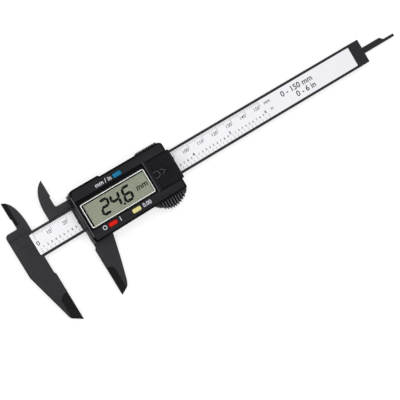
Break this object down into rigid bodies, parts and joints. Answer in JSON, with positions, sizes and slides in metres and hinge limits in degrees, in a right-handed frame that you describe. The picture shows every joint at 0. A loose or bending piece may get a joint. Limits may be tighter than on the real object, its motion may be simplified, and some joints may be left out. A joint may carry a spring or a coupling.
{
  "type": "digital caliper",
  "caption": "Plastic-bodied digital caliper with outside jaws, inside jaws, a depth rod and a sliding display head on a printed beam.",
  "frame": {"origin": "middle of the whole outline with the jaws open 24.6 mm, on the surface that the back plate rests on", "axes": "+X along the beam towards the depth rod, +Y towards the inside jaws, +Z out of the display"},
  "size_m": [0.2642, 0.0768, 0.015],
  "materials": {
    "composite": "fine moulded grain, satin black-grey",
    "housing": "fine moulded texture, near black",
    "cover": "fine moulded texture, black",
    "label": "printed white film",
    "board": "glass-epoxy board with green solder mask",
    "silver": "bright metallised",
    "steel": "bright steel",
    "brass": "spring brass leaf",
    "window": "clear polished plastic",
    "lcd": "grey-green liquid crystal glass",
    "holder": "pale moulded plastic",
    "rubber": "conductive rubber",
    "silicone": "grey silicone",
    "epoxy": "black epoxy",
    "blue": "moulded blue",
    "red": "moulded red",
    "yellow": "moulded pale yellow"
  },
  "bodies": {
    "beam": {"main_beam": "composite", "scale_grid_board": "board", "scale_label": "label", "rod_guide_plate": "composite", "guide_plate_screw_1": "steel", "guide_plate_screw_2": "steel"},
    "slider": {"slider_frame": "composite", "front_housing": "housing", "display_bezel": "silver", "display_window": "window", "lcd_panel": "lcd", "lcd_holder": "holder", "zebra_connector": "rubber", "circuit_board": "board", "controller_chip": "epoxy", "quartz_crystal": "steel", "battery_cell": "steel", "battery_contact_positive": "brass", "battery_contact_negative": "brass", "unit_button_pad": "silicone", "power_button_pad": "silicone", "zero_button_pad": "silicone", "gib_strip": "brass", "back_plate": "composite", "depth_rod": "composite", "back_plate_screw_1": "steel", "back_plate_screw_2": "steel", "back_plate_screw_3": "steel", "back_plate_screw_4": "steel", "housing_screw_1": "steel", "housing_screw_2": "steel", "housing_screw_3": "steel", "housing_screw_4": "steel", "board_screw_1": "steel", "board_screw_2": "steel"},
    "battery_cover": {"battery_cover": "cover"},
    "unit_button": {"unit_button": "blue"},
    "power_button": {"power_button": "red"},
    "zero_button": {"zero_button": "yellow"}
  },
  "joints": [
    {"name": "slider_slide", "type": "slide", "parent": "beam", "child": "slider", "axis": [1, 0, 0], "range_m": [-0.0245, 0.1254]},
    {"name": "battery_cover_slide", "type": "slide", "parent": "slider", "child": "battery_cover", "axis": [1, 0, 0], "range_m": [0, 0.0145]},
    {"name": "unit_press", "type": "slide", "parent": "slider", "child": "unit_button", "axis": [0, 0, -1], "range_m": [0, 0.0004], "stiffness_N_per_m": 1500, "deforming": ["unit_button_pad"]},
    {"name": "power_press", "type": "slide", "parent": "slider", "child": "power_button", "axis": [0, 0, -1], "range_m": [0, 0.0004], "stiffness_N_per_m": 1500, "deforming": ["power_button_pad"]},
    {"name": "zero_press", "type": "slide", "parent": "slider", "child": "zero_button", "axis": [0, 0, -1], "range_m": [0, 0.0004], "stiffness_N_per_m": 1500, "deforming": ["zero_button_pad"]}
  ]
}
